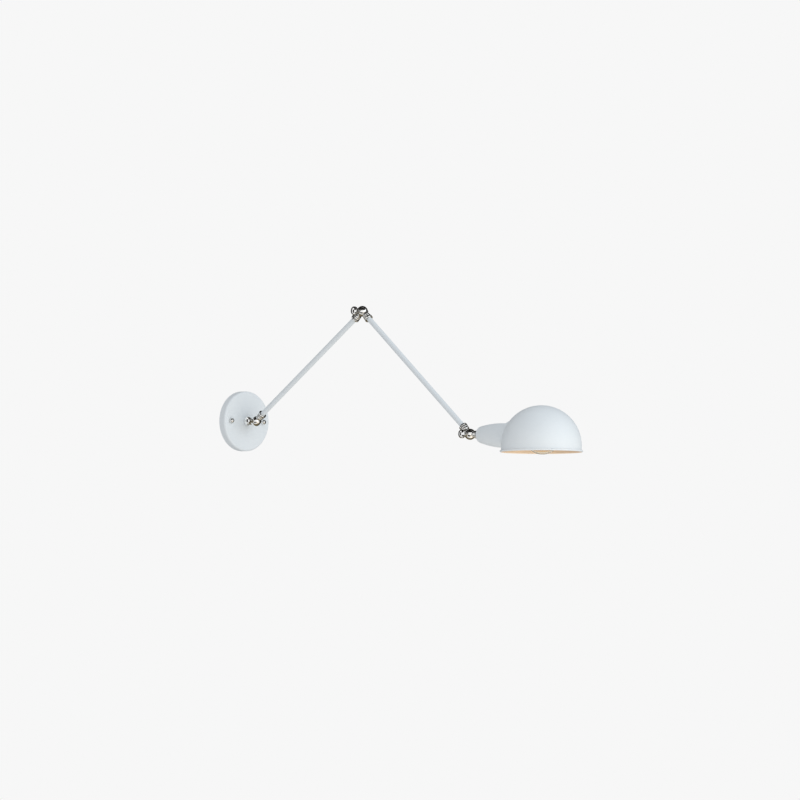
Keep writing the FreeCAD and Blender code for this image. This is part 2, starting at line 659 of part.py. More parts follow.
# Friction washer, pivot screw, cap nut and fluted thumb knob of one knuckle
def knuckle_fittings(joint, frame):
    washer = rectangle("-half_face", "friction_inside / 2", "half_face", "friction_outside / 2")
    turned(f"{joint}_friction_washer", frame, washer, "X")

    bore, nut = "pivot_diameter / 2 + fit_gap", "cap_nut_diameter / 2"
    nut_rim = "ball_flat + cap_nut_rim"
    dome = f"(({nut}) ^ 2 + cap_nut_rise ^ 2) / (2 * cap_nut_rise)"
    turned(f"{joint}_cap_nut", frame, [
        ("ball_flat", bore),
        ("ball_flat", nut),
        (nut_rim, nut),
        (f"{nut_rim} + cap_nut_rise", "0", dome, "right"),
        ("ball_flat + cap_nut_bore", "0"),
        ("ball_flat + cap_nut_bore", bore),
    ], "X")

    hub_face = "ball_flat + turn_gap"
    screw_head = f"-({hub_face} + knob_bore_depth - turn_gap)"
    screw_end = "ball_flat + cap_nut_bore - turn_gap"
    turned(f"{joint}_pivot_screw", frame, rectangle(screw_head, "0", screw_end, "pivot_diameter / 2"), "X")

    label = f"{joint}_thumb_knob"
    knob = new_body(label, frame)
    hub, rim = "knob_hub_diameter / 2", "knob_diameter / 2"
    back = f"{hub_face} + knob_hub_length"
    front = f"{back} + knob_width"
    crown = f"(({rim}) ^ 2 + knob_crown ^ 2) / (2 * knob_crown)"
    spin(knob, [
        (f"-({hub_face})", bore),
        (f"-({hub_face})", hub),
        (f"-({back})", hub),
        (f"-({back})", f"{rim} - knob_edge"),
        (f"-({back} + knob_edge)", rim, "knob_edge", "left"),
        (f"-({front})", rim),
        (f"-({front} + knob_crown)", "0", crown, "left"),
        (f"-({hub_face} + knob_bore_depth)", "0"),
        (f"-({hub_face} + knob_bore_depth)", bore),
    ], axis="X")
    flute = [(f"{rim} + flute_diameter / 2 - flute_depth", "0", "flute_diameter / 2")]
    groove = pocket(knob, "YZ_Plane", f"{front} + 2 * knob_crown", circles=flute)
    ring = knob.newObject("PartDesign::PolarPattern", f"{joint}_flutes")
    ring.Originals = [groove]
    ring.Axis = (origin_feature(knob, "X_Axis"), [""])
    ring.Angle = 360
    ring.Occurrences = FLUTES
    knob.Tip = ring
    keep(knob, label)


# Socket cup, a spun bullet with a flat back
def socket_cup():
    flat, bore = "cup_flat / 2", "tube_radius + hole_gap"
    inner_round = "cup_round - cup_wall"
    mouth = "cup_front_diameter / 2"
    slope = "cup_shoulder_angle"
    turned("socket_cup", "head", [
        (bore, "collar_end"),
        (flat, "collar_end"),
        (f"{flat} + cup_round * cos({slope})", f"cup_shoulder - cup_round * sin({slope})",
         "cup_round", "left"),
        (mouth, "cup_mouth", "cup_bow", "left"),
        (f"{mouth} - cup_wall", "cup_mouth"),
        (f"{flat} + ({inner_round}) * cos({slope})", f"cup_shoulder - ({inner_round}) * sin({slope})",
         "cup_bow - cup_wall", "right"),
        (flat, "collar_end + cup_wall", inner_round, "right"),
        (bore, "collar_end + cup_wall"),
    ])


# Lampholder: moulded body, threaded shell, sprung centre contact and the ring that clamps the shade
def lampholder():
    entry, boss, body = "tube_radius + fit_gap", "holder_boss_diameter / 2", "holder_diameter / 2"
    skirt, socket = "holder_skirt_diameter / 2", "socket_diameter / 2"
    cable_end = "holder_body + cable_tail + cable_gap"
    turned("lampholder_body", "head", [
        (entry, "holder_start"),
        (boss, "holder_start"),
        (boss, "holder_body"),
        (f"{body} - holder_round", "holder_body"),
        (body, "holder_body + holder_round", "holder_round", "left"),
        (body, "seat_start"),
        (skirt, "seat_start"),
        (skirt, "holder_front"),
        (socket, "holder_front"),
        (socket, "floor_level"),
        ("0", "floor_level"),
        ("0", cable_end),
        ("lead_radius", cable_end),
        ("lead_radius", "holder_body"),
        (entry, "holder_body"),
    ])
    shell, shell_top = f"{socket} - fit_gap", "holder_front - socket_shell_lip"
    turned("socket_shell", "head", [
        ("socket_shell_hole / 2", "floor_level"),
        (shell, "floor_level"),
        (shell, shell_top),
        (f"{shell} - socket_shell_wall", shell_top),
        (f"{shell} - socket_shell_wall", "floor_level + socket_shell_wall"),
        ("socket_shell_hole / 2", "floor_level + socket_shell_wall"),
    ])
    contact = new_body("centre_contact", "head")
    end, strip_top = "contact_length / 2", "floor_level + contact_sheet"
    tongue = "bulb_tip - turn_gap"
    strip = [
        (f"-{end}", "floor_level"),
        (end, "floor_level"),
        (end, strip_top),
        (f"-{end} + 3 * contact_sheet", strip_top),
        (f"{end} / 2", f"{tongue} - contact_sheet"),
        (f"{end} / 2", tongue),
        (f"-{end}", f"{strip_top} + contact_sheet"),
    ]
    pad(contact, "XZ_Plane", [strip], "contact_width", both_sides=True)
    keep(contact, "centre_contact")
    ring, ring_top = "ring_diameter / 2", "seat_end + ring_height"
    turned("shade_ring", "head", [
        (f"{skirt} + fit_gap", "seat_end"),
        (ring, "seat_end"),
        (ring, f"{ring_top} - ring_edge"),
        (f"{ring} - ring_edge", ring_top, "ring_edge", "left"),
        (f"{skirt} + fit_gap", ring_top),
    ])


# Dome shade with a rolled rim and a round hole where its neck is welded on
def shade():
    inner = "dome_radius - shade_wall"
    dome = new_body("shade_dome", "shade")
    spin(dome, [
        ("0", "dome_radius"),
        ("dome_radius", "0", "dome_radius", "right"),
        ("dome_radius", "bead_join"),
        ("bead_centre + shade_bead", "bead_level", "shade_bead", "right"),
        ("bead_centre", "bead_level - shade_bead", "shade_bead", "right"),
        ("bead_centre - shade_bead", "bead_level", "shade_bead", "right"),
        (inner, "0"),
        ("0", inner, inner, "left"),
    ])
    hole = cylinder("shade_hole", "head", "neck_bore / 2", "shade_reach - cup_mouth - dome_radius / 2",
                    ("0", "0", "cup_mouth"))
    cut("shade", dome, hole)

    blank = new_body("neck_blank", "head")
    wall, bore, deep = "neck_diameter / 2", "neck_bore / 2", "shade_reach - dome_radius / 2"
    seat = "holder_skirt_diameter / 2 + hole_gap"
    spin(blank, [
        (bore, "cup_mouth"),
        (f"{wall} - neck_edge", "cup_mouth"),
        (wall, "cup_mouth + neck_edge", "neck_edge", "left"),
        (wall, deep),
        (f"{wall} - neck_wall", deep),
        (f"{wall} - neck_wall", "seat_end"),
        (seat, "seat_end"),
        (seat, "seat_start"),
        (bore, "seat_start"),
    ])
    core = new_body("dome_core", "shade")
    outside, rim = "dome_radius + weld_gap", "bead_centre + shade_bead + weld_gap"
    rim_top, rim_bottom = "bead_level + shade_bead + weld_gap", "bead_level - shade_bead - weld_gap"
    spin(core, [
        ("0", outside),
        (outside, "0", outside, "right"),
        (outside, rim_top),
        (rim, rim_top),
        (rim, rim_bottom),
        ("0", rim_bottom),
    ])
    cut("shade_neck", blank, core)


# Bulb: glass globe on a curved neck, screw cap, insulator, tip contact, stem and looped filament
def bulb():
    angle, neck_inside = "bulb_neck_angle", "glass_radius - bulb_wall"
    crown = "bulb_centre + bulb_radius"
    turned("bulb_glass", "head", [
        ("glass_radius", "glass_start"),
        ("glass_radius", "neck_level"),
        ("join_radius", "join_level", "neck_curve", "right"),
        ("0", crown, "bulb_radius", "left"),
        ("0", f"{crown} - bulb_wall"),
        (f"join_radius - bulb_wall * cos({angle})", f"join_level + bulb_wall * sin({angle})",
         "bulb_radius - bulb_wall", "right"),
        (neck_inside, "neck_level", "neck_curve + bulb_wall", "left"),
        (neck_inside, "glass_start"),
    ])
    cone, cap_inside = "cap_radius - bulb_cap_cone", "cap_radius - bulb_cap_wall"
    turned("bulb_cap", "head", [
        (f"{cone} - bulb_cap_wall", "cap_start"),
        (cone, "cap_start"),
        ("cap_radius", "cap_start + bulb_cap_cone"),
        ("cap_radius", "cap_end"),
        (cap_inside, "cap_end"),
        (cap_inside, "cap_start + bulb_cap_cone"),
    ])
    button, button_top = "bulb_button_diameter / 2", "bulb_tip + bulb_button_height"
    turned("bulb_insulator", "head", [
        ("0", button_top),
        (button, button_top),
        (cone, "cap_start"),
        ("0", "cap_start"),
    ])
    turned("bulb_tip_contact", "head", [
        ("0", "bulb_tip"),
        (f"{button} - bulb_button_height / 2", "bulb_tip"),
        (button, "bulb_tip + bulb_button_height / 2", "bulb_button_height / 2", "left"),
        (button, button_top),
        ("0", button_top),
    ])
    flare, stem = f"{neck_inside} - hole_gap", "stem_diameter / 2"
    turned("bulb_stem", "head", [
        ("0", "stem_base"),
        (flare, "stem_base"),
        (flare, "stem_base + bulb_wall"),
        (stem, "stem_base + stem_flare"),
        (stem, "stem_top"),
        ("0", "stem_top"),
    ])
    leads = []
    for side in SIDES:
        lead = new_body("filament_lead", "head")
        foot, half = f"{stem} - 2 * filament_lead_width", "filament_lead_width / 2"
        pad(lead, "XZ_Plane", [[
            (f"{side} * ({foot} - {half})", "stem_top"),
            (f"{side} * ({foot} + {half})", "stem_top"),
            (f"{side} * (filament_loop + {half})", "loop_level"),
            (f"{side} * (filament_loop - {half})", "loop_level"),
        ]], "filament_lead_width", both_sides=True)
        leads.append(lead)
    group("filament_leads", leads)
    loop = doc.addObject("Part::Torus", "filament")
    tie(loop, "Radius1", "filament_loop")
    tie(loop, "Radius2", "filament_diameter / 2")
    loop.Angle3 = 180
    place(loop, "head", ("0", "0", "loop_level"), "90")
    keep(loop, "filament")


# An arm: its tube and the cable inside it, pivot to pivot
def arm(frame):
    length = f"{frame}_arm_length"
    sleeve(f"{frame}_arm_tube", frame, "bore_radius", "tube_radius", "tube_start", f"{length} - tube_start")
    cable(f"{frame}_arm_cable", frame, f"{length} - cable_start")


# Wall side
bracket()
backplate()
group("plate_screws", [plate_screw("plate_screw", side) for side in SIDES])
nipple_end = "pivot_out - tube_start - turn_gap"
sleeve("centre_nipple", "wall", "bore_radius", "tube_radius", "nipple_inside", nipple_end)
lock_nut("nipple_locknut", "wall", "nut_inside")
sleeve("nipple_washer", "wall", "tube_radius + hole_gap", "washer_diameter / 2",
       "plate_inside - washer_height", "plate_inside")
terminals()
supply_cable()

# Base knuckle, lower arm, elbow, upper arm and head knuckle
collar("base_collar", "stem")
knuckle_half("base_knuckle_inner", "stem", "1")
knuckle_fittings("base", "lower")
knuckle_half("base_knuckle_outer", "lower", "-1")
collar("lower_arm_base_collar", "lower")
arm("lower")
collar("lower_arm_elbow_collar", "lower_tip")
knuckle_half("elbow_knuckle_inner", "lower_tip", "1")
knuckle_fittings("elbow", "upper")
knuckle_half("elbow_knuckle_outer", "upper", "-1")
collar("upper_arm_elbow_collar", "upper")
arm("upper")
collar("upper_arm_head_collar", "upper_tip")
knuckle_half("head_knuckle_inner", "upper_tip", "1")
knuckle_fittings("head", "head")
knuckle_half("head_knuckle_outer", "head", "-1")
collar("head_collar", "head")

# Lamp head
sleeve("cup_nipple", "head", "bore_radius", "tube_radius", "tube_start", "holder_body")
lock_nut("cup_locknut", "head", "collar_end + cup_wall")
socket_cup()
cable("head_cable", "head", "holder_body + cable_tail")
lampholder()
shade()
bulb()

doc.recompute()
for item in doc.Objects:
    if "Invalid" in item.State or "Error" in item.State:
        raise RuntimeError(f"{item.Label} did not build: {item.State}")
for node in nodes:
    if node.Shape.isNull() or not node.Shape.isValid() or not node.Shape.Solids:
        raise RuntimeError(f"{node.Label} has no valid solid")

os.makedirs("parts", exist_ok=True)
for node in nodes:
    node.Shape.exportStep(f"parts/{node.Label}.step")
    print(f"{node.Label}: {len(node.Shape.Solids)} solids, {node.Shape.Volume:.1f} mm3")
print(f"{len(nodes)} nodes")
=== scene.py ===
# %% [markdown]
# # A swing arm wall lamp
#
# The lamp is a white round plate, two slim tubes on chrome knuckles, a bullet shaped cup and a dome
# shade. Its solids come packed from the workshop drawing, in metres, with the back of the plate at
# y = 0 and the arms reaching out along -y. They already have the right shape and place, so this script
# mostly gives them their finishes. It adds the few small forms that a workshop drawing leaves out:
# screw threads, the filament's winding and a weld.

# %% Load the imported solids
import json
import math

import bmesh
import bpy
import numpy as np
from mathutils import Matrix, Vector


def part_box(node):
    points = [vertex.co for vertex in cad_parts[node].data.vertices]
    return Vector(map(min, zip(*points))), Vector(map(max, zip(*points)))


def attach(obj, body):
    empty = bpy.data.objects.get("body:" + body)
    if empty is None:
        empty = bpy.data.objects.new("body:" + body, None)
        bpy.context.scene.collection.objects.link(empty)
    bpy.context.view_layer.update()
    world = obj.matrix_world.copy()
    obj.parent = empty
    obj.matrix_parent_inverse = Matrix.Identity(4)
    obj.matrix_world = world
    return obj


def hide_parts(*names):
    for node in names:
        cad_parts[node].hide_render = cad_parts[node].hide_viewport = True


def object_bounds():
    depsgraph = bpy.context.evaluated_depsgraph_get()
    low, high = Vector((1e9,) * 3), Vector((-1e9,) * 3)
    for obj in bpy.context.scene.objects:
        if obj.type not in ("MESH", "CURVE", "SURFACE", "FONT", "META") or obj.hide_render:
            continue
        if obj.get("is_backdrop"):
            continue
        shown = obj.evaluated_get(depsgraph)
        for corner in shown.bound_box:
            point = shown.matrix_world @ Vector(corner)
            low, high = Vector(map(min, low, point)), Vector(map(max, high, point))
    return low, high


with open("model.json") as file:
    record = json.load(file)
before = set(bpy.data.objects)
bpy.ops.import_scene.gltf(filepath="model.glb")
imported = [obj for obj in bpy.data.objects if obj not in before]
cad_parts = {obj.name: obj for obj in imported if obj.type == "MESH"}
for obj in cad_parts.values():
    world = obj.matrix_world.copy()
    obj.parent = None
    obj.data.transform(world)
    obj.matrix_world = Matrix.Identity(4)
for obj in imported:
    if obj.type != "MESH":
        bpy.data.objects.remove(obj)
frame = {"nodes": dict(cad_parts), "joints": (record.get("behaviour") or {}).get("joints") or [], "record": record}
nodes = frame["nodes"]
cad_box = [list(corner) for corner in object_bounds()]
MM = 0.001


def in_mm(values):
    """Metres as millimetres, rounded for a print."""
    return [round(value / MM, 1) for value in values]


print("solids:", len(nodes), "box in mm:", [in_mm(corner) for corner in cad_box])

# %% [markdown]
# ## Where the camera stands
#
# A picture of a lamp taken from far away through a long lens has nearly parallel lines. The plate's
# ellipse gives the side angle, the thin strip of shade seen from below gives the height, and the
# shade's rim shows that the camera leans by one degree. So it can be placed by numbers alone: turn to
# the lamp's left, go a little under level, lean, step back eight metres, then slide until the lamp
# lies where it should in the square picture.

# %% Camera
SIDE_ANGLE = math.radians(-43.79)
HEIGHT_ANGLE = math.radians(-2.3)
LEAN_ANGLE = math.radians(1.1)
STEP_BACK = 8.0
SLIDE_RIGHT, SLIDE_UP = 0.3124, 0.0429
AIM = Vector((0, -0.008, 0))
LENS_LENGTH, SENSOR_WIDTH = 179.25, 36
FARTHEST_SEEN = 100

level_right = Vector((math.cos(SIDE_ANGLE), math.sin(SIDE_ANGLE), 0))
back = Vector((
    math.sin(SIDE_ANGLE) * math.cos(HEIGHT_ANGLE),
    -math.cos(SIDE_ANGLE) * math.cos(HEIGHT_ANGLE),
    math.sin(HEIGHT_ANGLE),
))
right = Matrix.Rotation(LEAN_ANGLE, 3, back) @ level_right
up = back.cross(right)
lens = bpy.data.cameras.new("camera")
lens.lens = LENS_LENGTH
lens.sensor_width = SENSOR_WIDTH
lens.clip_end = FARTHEST_SEEN
camera = bpy.data.objects.new("camera", lens)
camera.matrix_world = Matrix.Translation(
    AIM + right * SLIDE_RIGHT + up * SLIDE_UP + back * STEP_BACK
) @ Matrix((right, up, back)).transposed().to_4x4()
bpy.context.scene.collection.objects.link(camera)
bpy.context.scene.camera = camera
print("camera at", [round(value, 2) for value in camera.location])

# %% [markdown]
# ## Shader maths
#
# A material is a graph of small nodes. Writing `0.4 + 0.2 * mask` is easier to read than placing nodes
# by hand, so one small class wraps a socket and turns the usual operators into Math nodes. Any other
# node comes from `add`, which takes the node's type, its settings and what its sockets get.

# %% Sockets that can be added and multiplied
class Signal:
    """One output socket. Arithmetic with numbers or other signals adds a Math node for it."""

    def __init__(self, board, socket):
        self.board, self.socket = board, socket

    def maths(self, operation, *values):
        return self.board.add("ShaderNodeMath", {"operation": operation}, dict(enumerate(values)))

    def __add__(self, other):
        return self.maths("ADD", self, other)

    def __radd__(self, other):
        return self.maths("ADD", other, self)

    def __mul__(self, other):
        return self.maths("MULTIPLY", self, other)

    def __rmul__(self, other):
        return self.maths("MULTIPLY", other, self)

    def __gt__(self, other):
        return self.maths("GREATER_THAN", self, other)

    def or_more(self, other):
        """The larger of two signals."""
        return self.maths("MAXIMUM", self, other)


print("signals can be added, multiplied and compared")

# %% A board that takes nodes
class Board:
    """A node tree that nodes are put on."""

    def __init__(self, tree):
        self.tree = tree

    def add(self, kind, settings=(), inputs=(), output=0):
        """One node of any kind: settings first, then a value or a signal for each socket."""
        node = self.tree.nodes.new(kind)
        for name, value in dict(settings).items():
            setattr(node, name, value)
        for name, value in dict(inputs).items():
            self.feed(node.inputs[name], value)
        return Signal(self, node.outputs[output])

    def feed(self, socket, value):
        if isinstance(value, Signal):
            self.tree.links.new(value.socket, socket)
        else:
            socket.default_value = value


print("boards take nodes of any kind")

# %% A paint that is being mixed
# Places of the colours among the Mix node's inputs, and of the mixed colour among its outputs.
MIX_FIRST, MIX_SECOND, MIX_RESULT = 6, 7, 2


class Paint(Board):
    """A material being mixed: its node tree, its main shader and its object coordinates."""

    def __init__(self, name):
        self.material = bpy.data.materials.new(name)
        self.material.use_nodes = True
        super().__init__(self.material.node_tree)
        self.shader = self.tree.nodes["Principled BSDF"]
        self.place = self.add("ShaderNodeTexCoord", output="Object")

    def shade(self, **sockets):
        """Set the main shader's sockets, named with _ for a space."""
        for name, value in sockets.items():
            self.feed(self.shader.inputs[name.replace("_", " ")], value)

    def noise(self, size, detail=2.0, place=None):
        """Cloudy noise whose blotches are about the given size in metres."""
        inputs = {"Vector": place or self.place, "Scale": 1 / size, "Detail": detail}
        return self.add("ShaderNodeTexNoise", {"noise_dimensions": "3D"}, inputs, "Fac")

    def blend(self, factor, first, second):
        """A colour between two others: all first at factor 0, all second at factor 1."""
        inputs = {0: factor, MIX_FIRST: first, MIX_SECOND: second}
        return self.add("ShaderNodeMix", {"data_type": "RGBA"}, inputs, MIX_RESULT)

    def bump(self, height, depth, strength=1.0):
        """A Normal signal from a height signal that spans the given depth in metres."""
        inputs = {"Height": height, "Distance": depth, "Strength": strength}
        return self.add("ShaderNodeBump", (), inputs, "Normal")


print("paints have noise, blends and bumps")

# %% [markdown]
# ## White powder coat
#
# Powder coat is sprayed dry and melted in an oven, so it is matte with a fine orange peel and no brush
# marks. A bump made of very small noise gives the peel, and the same noise varies the roughness.
# Larger, fainter clouds keep the white from being one flat colour, as on a real sprayed tube. An image
# could do the same, but it would have to be wrapped around each piece; noise needs no wrapping.

# %% Powder coat
COOL_WHITE = (0.765, 0.825, 0.885, 1)
COOL_SHADE = (0.735, 0.80, 0.865, 1)
CLOUD_SIZE = 24 * MM
PEEL_SIZE, PEEL_DEPTH, PEEL_STRENGTH = 0.55 * MM, 0.05 * MM, 0.55
COAT_ROUGH, COAT_ROUGH_SPAN = 0.42, 0.16


def powder_coat(paint, colour):
    """Matte sprayed paint in the given colour signal, with a peel of half a millimetre."""
    peel = paint.noise(PEEL_SIZE, detail=3)
    paint.shade(
        Base_Color=colour,
        Roughness=COAT_ROUGH + COAT_ROUGH_SPAN * peel,
        Normal=paint.bump(peel, PEEL_DEPTH, PEEL_STRENGTH),
    )


white = Paint("white_powder_coat")
powder_coat(white, white.blend(white.noise(CLOUD_SIZE), COOL_SHADE, COOL_WHITE))
print("made", white.material.name, "with", len(white.tree.nodes), "nodes")

# %% [markdown]
# ## Inside of the shade
#
# The shade is one spun sheet, white outside. Inside it is painted a warm cream: a painted reflection
# that stands in for the warm light bounced into the dome from below. Two materials on two groups of
# faces would leave a ragged line on the rolled rim, so the paint itself works out which side it is on.
# Measured from the middle of the dome, a point nearer than the middle of the sheet is inside. Below
# the middle the sheet runs straight down, so there the height counts as zero, and on the rolled rim
# the colours meet along its lowest line.

# %% Shade paint with a painted warm reflection on its inner side
# Painted reflection: the warm cream inside stands in for warm light bounced into the dome.
WARM_BOUNCE_CREAM = (0.95, 0.78, 0.60, 1)
DIM_BOUNCE_CREAM = (0.91, 0.73, 0.55, 1)
DOME_RADIUS, SHEET = 75 * MM, 1.0 * MM
RIM_TOP, RIM_RADIUS = 8.5 * MM, 75.8 * MM
DOME_TILT = math.radians(-1.45)
DOME_MIDDLE = Vector((0, -839.85, -54.94)) * MM
enamel = Paint("shade_powder_coat")
turned = enamel.add(
    "ShaderNodeMapping",
    {"vector_type": "TEXTURE"},
    {"Vector": enamel.place, "Location": DOME_MIDDLE, "Rotation": (DOME_TILT, 0, 0)},
)
across, along, height = (
    enamel.add("ShaderNodeSeparateXYZ", (), {"Vector": turned}, axis) for axis in "XYZ"
)
raised = height.or_more(0.0)
on_rim = -1 * height > RIM_TOP
sheet_square = (DOME_RADIUS - SHEET / 2) ** 2
border = sheet_square + (RIM_RADIUS ** 2 - sheet_square) * on_rim
# Painted warm reflection inside the dome, plain white paint outside.
outside = across * across + along * along + raised * raised > border
clouds = enamel.noise(CLOUD_SIZE)
powder_coat(enamel, enamel.blend(
    outside,
    enamel.blend(clouds, DIM_BOUNCE_CREAM, WARM_BOUNCE_CREAM),
    enamel.blend(clouds, COOL_SHADE, COOL_WHITE),
))
print("dome across in mm:", in_mm(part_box("shade")[1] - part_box("shade")[0]))

# %% [markdown]
# ## Chrome
#
# Chrome is a mirror that is never quite clean: polishing leaves hair lines, and handling leaves faint
# smears. Stretched noise makes the lines. It moves the roughness between a clear and a slightly hazy
# mirror, and tips the surface by a few micrometres. In the steps of a collar and around a screw head
# the base colour is darkened towards near black: this is painted shade, standing in for the shade
# that falls into these corners. An Ambient Occlusion node measures how open a point is: the less
# open, the darker the painted shade.

# %% Chrome
DULL_CHROME = (0.90, 0.90, 0.89, 1)
BRIGHT_CHROME = (0.97, 0.97, 0.96, 1)
# Painted shade: the base colour turns near black where a point is closed in by its neighbours.
PAINTED_CORNER_SHADE = (0.05, 0.045, 0.038, 1)
SHADE_REACH, SHADE_SAMPLES = 2.5 * MM, 8
DARKEST_BELOW, UNSHADED_ABOVE = 0.4, 0.8
HAIR_STRETCH = (1.0, 14.0, 14.0)
HAIR_SIZE, HAIR_DEPTH, HAIR_STRENGTH = 1.5 * MM, 0.006 * MM, 0.4
SMEAR_SIZE = 6 * MM
CLEAR_MIRROR, SMEAR_HAZE, HAIR_HAZE = 0.04, 0.05, 0.02

chrome = Paint("polished_chrome")
hair = chrome.add("ShaderNodeMapping", (), {"Vector": chrome.place, "Scale": HAIR_STRETCH})
lines = chrome.noise(HAIR_SIZE, detail=4, place=hair)
smear = chrome.noise(SMEAR_SIZE, detail=1)
# How open each point is; this sets how dark the painted shade is.
openness = chrome.add(
    "ShaderNodeAmbientOcclusion", {"samples": SHADE_SAMPLES}, {"Distance": SHADE_REACH}, "AO"
)
corner_shade = chrome.add(
    "ShaderNodeMapRange",
    (),
    {"Value": openness, "From Min": DARKEST_BELOW, "From Max": UNSHADED_ABOVE},
)
polish = chrome.blend(smear, DULL_CHROME, BRIGHT_CHROME)
chrome.shade(
    Base_Color=chrome.blend(corner_shade, PAINTED_CORNER_SHADE, polish),
    Metallic=1.0,
    Roughness=CLEAR_MIRROR + SMEAR_HAZE * smear + HAIR_HAZE * lines,
    Normal=chrome.bump(lines, HAIR_DEPTH, HAIR_STRENGTH),
)
print("made", chrome.material.name, "with", len(chrome.tree.nodes), "nodes")

# %% [markdown]
# ## Plain metals
#
# The bracket, nuts and nipples are zinc plated: grey, dull, with the faint crystals and yellow-blue
# cast of the plating. Contacts and terminal screws are bare brass that has begun to brown. The bulb
# has a nickel cap and a dark filament. All come from one recipe with their own colours, because every
# metal is made of crystals and tarnishes in patches: cells make the crystals, clouds the patches.

# %% Zinc, brass, bulb cap and filament wire
GRAINS_PER_STAIN = 8
CRYSTAL_DEPTH, CRYSTAL_STRENGTH = 0.02 * MM, 0.35


def plain_metal(name, clean, stained, grain, rough, rough_span, bare=1.0):
    """A metal with crystals of the given grain whose colour drifts between clean and stained.

    How bare it is says how far it mirrors; a dull salt of the plating covers the rest.
    """
    paint = Paint(name)
    cells = {"Vector": paint.place, "Scale": 1 / grain}
    crystals = paint.add("ShaderNodeTexVoronoi", {"feature": "F1"}, cells, "Distance")
    stain = paint.noise(GRAINS_PER_STAIN * grain, detail=4)
    paint.shade(
        Base_Color=paint.blend(stain, clean, stained),
        Metallic=bare,
        Roughness=rough + rough_span * crystals,
        Normal=paint.bump(crystals, CRYSTAL_DEPTH, CRYSTAL_STRENGTH),
    )
    return paint.material


zinc = plain_metal(
    "zinc_plate", clean=(0.60, 0.61, 0.62, 1), stained=(0.54, 0.53, 0.47, 1),
    grain=1.6 * MM, rough=0.30, rough_span=0.22, bare=0.5,
)
brass = plain_metal(
    "bare_brass", clean=(0.80, 0.60, 0.29, 1), stained=(0.56, 0.38, 0.17, 1),
    grain=1.0 * MM, rough=0.24, rough_span=0.20,
)
cap_metal = plain_metal(
    "nickel_cap", clean=(0.72, 0.71, 0.69, 1), stained=(0.60, 0.58, 0.54, 1),
    grain=1.2 * MM, rough=0.22, rough_span=0.18,
)
wire = plain_metal(
    "tungsten_wire", clean=(0.36, 0.33, 0.30, 1), stained=(0.24, 0.21, 0.19, 1),
    grain=0.4 * MM, rough=0.35, rough_span=0.25,
)
print("made", zinc.name, brass.name, cap_metal.name, wire.name)

# %% [markdown]
# ## Mouldings, washers and cable
#
# The lampholder is a pressed moulding with a glossy skin and tiny specks. The terminal block is milky
# nylon, the friction washers are pressed dark fibre, the cable has a matte sheath, and black glass
# insulates the bulb's tip. They differ in colour, gloss and the size of their specks, so they share one
# recipe too.

# %% Mouldings
SPECKS_BEGIN, SPECKS_FULL = 0.52, 0.72
SPECKS_PER_CLOUD = 4
SPECK_STRENGTH = 0.4


def moulding(name, colour, fleck, speck, rough, rough_span, depth):
    """A moulded or pressed piece: specks of the given size in a second colour, and an even skin."""
    paint = Paint(name)
    specks = paint.noise(speck, detail=3)
    dense = paint.add(
        "ShaderNodeMapRange",
        (),
        {"Value": specks, "From Min": SPECKS_BEGIN, "From Max": SPECKS_FULL},
    )
    skin = paint.noise(SPECKS_PER_CLOUD * speck, detail=2)
    paint.shade(
        Base_Color=paint.blend(dense, colour, fleck),
        Roughness=rough + rough_span * skin,
        Normal=paint.bump(specks, depth, SPECK_STRENGTH),
    )
    return paint.material


ivory = moulding(
    "ivory_moulding", colour=(0.80, 0.76, 0.66, 1), fleck=(0.70, 0.65, 0.54, 1),
    speck=0.8 * MM, rough=0.16, rough_span=0.12, depth=0.01 * MM,
)
nylon = moulding(
    "milky_nylon", colour=(0.80, 0.80, 0.76, 1), fleck=(0.72, 0.72, 0.68, 1),
    speck=1.2 * MM, rough=0.40, rough_span=0.15, depth=0.02 * MM,
)
fibre = moulding(
    "dark_fibre", colour=(0.045, 0.043, 0.04, 1), fleck=(0.10, 0.09, 0.075, 1),
    speck=0.5 * MM, rough=0.70, rough_span=0.20, depth=0.06 * MM,
)
sheath = moulding(
    "cable_sheath", colour=(0.70, 0.70, 0.67, 1), fleck=(0.62, 0.62, 0.60, 1),
    speck=0.6 * MM, rough=0.45, rough_span=0.15, depth=0.03 * MM,
)
black_glass = moulding(
    "black_glass", colour=(0.02, 0.018, 0.025, 1), fleck=(0.05, 0.04, 0.06, 1),
    speck=0.7 * MM, rough=0.10, rough_span=0.10, depth=0.02 * MM,
)
print("made", ivory.name, nylon.name, fibre.name, sheath.name, black_glass.name)

# %% [markdown]
# ## Bulb glass
#
# The bulb is clear glass. Its slight warm tint is a painted reflection of warm surroundings seen
# through it. Its solid is hollow like the real one, so light bends at both faces and no trick for thin
# glass is needed. Blown glass is a little wavy, so a broad, shallow bump bends the reflections, and a
# trace of dust roughens it in places.

# %% Clear glass
# Painted warm tint, standing in for warm surroundings seen through the glass.
WARM_SURROUNDINGS_TINT = (0.97, 0.91, 0.80, 1)
GLASS_INDEX = 1.5
WAVE_SIZE, WAVE_DEPTH, WAVE_STRENGTH = 14 * MM, 0.25 * MM, 0.3
DUST_SIZE = 3 * MM
CLEAN_GLASS, DUST_HAZE = 0.01, 0.03

glass = Paint("bulb_clear_glass")
waves = glass.noise(WAVE_SIZE, detail=1)
dust = glass.noise(DUST_SIZE, detail=4)
glass.shade(
    Base_Color=WARM_SURROUNDINGS_TINT,
    Roughness=CLEAN_GLASS + DUST_HAZE * dust,
    Normal=glass.bump(waves, WAVE_DEPTH, WAVE_STRENGTH),
    Transmission_Weight=1.0,
    IOR=GLASS_INDEX,
)
print("made", glass.material.name)
